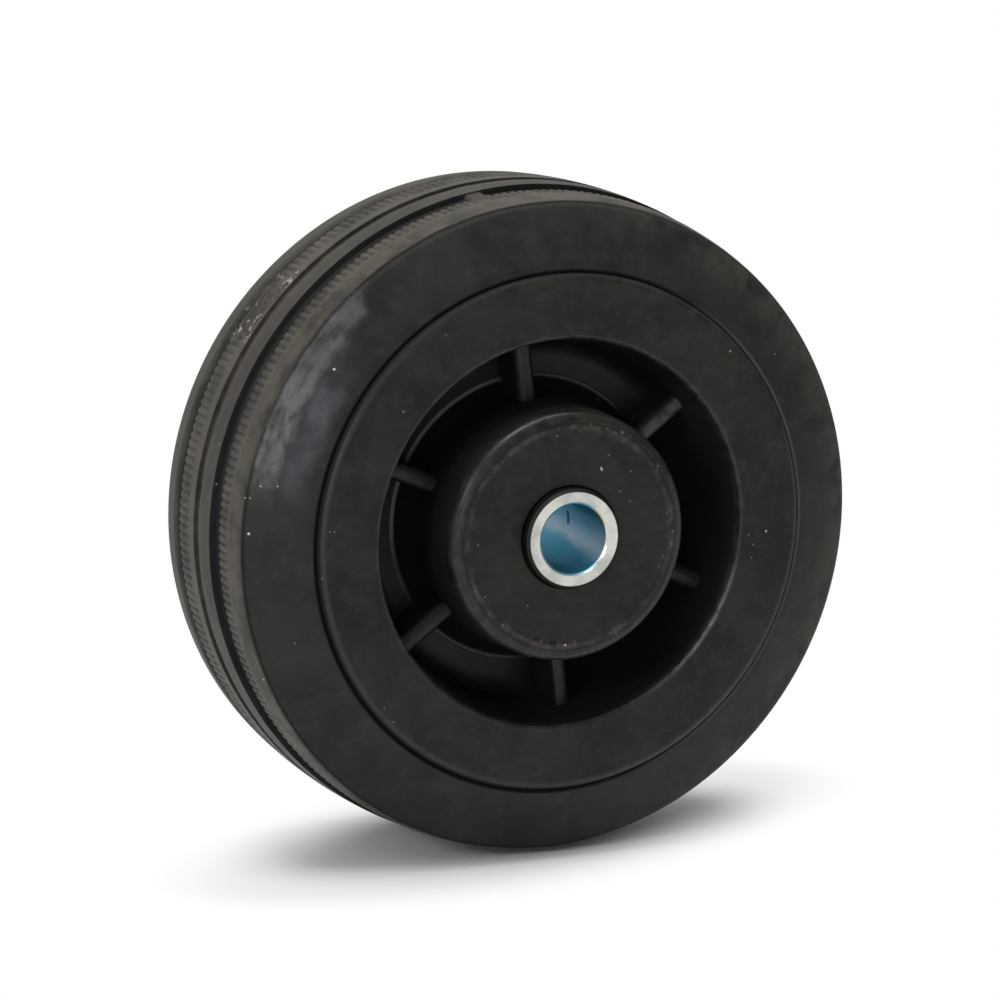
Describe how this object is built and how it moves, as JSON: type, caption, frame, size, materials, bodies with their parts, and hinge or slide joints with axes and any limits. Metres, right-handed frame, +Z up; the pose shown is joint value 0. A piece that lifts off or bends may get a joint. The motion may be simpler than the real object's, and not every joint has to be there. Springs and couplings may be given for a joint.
{
  "type": "trolley wheel",
  "caption": "Rubber-tyred trolley wheel with a ribbed plastic centre that turns freely on a plain steel axle tube.",
  "frame": {"origin": "middle of the wheel, on its spin axis", "axes": "+Y along the spin axis, away from the face seen in the picture; +Z up, towards the top of the wheel as it stands; the tread meets the floor at -Z"},
  "size_m": [0.08, 0.039, 0.08],
  "materials": {
    "tyre_rubber": "worn matt black rubber",
    "centre_plastic": "satin black moulded plastic",
    "plated_steel": "bright zinc plating"
  },
  "bodies": {
    "axle": {"axle_tube": "plated_steel"},
    "wheel": {"wheel_centre": "centre_plastic", "tyre": "tyre_rubber"}
  },
  "joints": [
    {"name": "wheel_spin", "type": "hinge", "parent": "axle", "child": "wheel", "pos_m": [0, 0, 0], "axis": [0, 1, 0], "continuous": true}
  ]
}
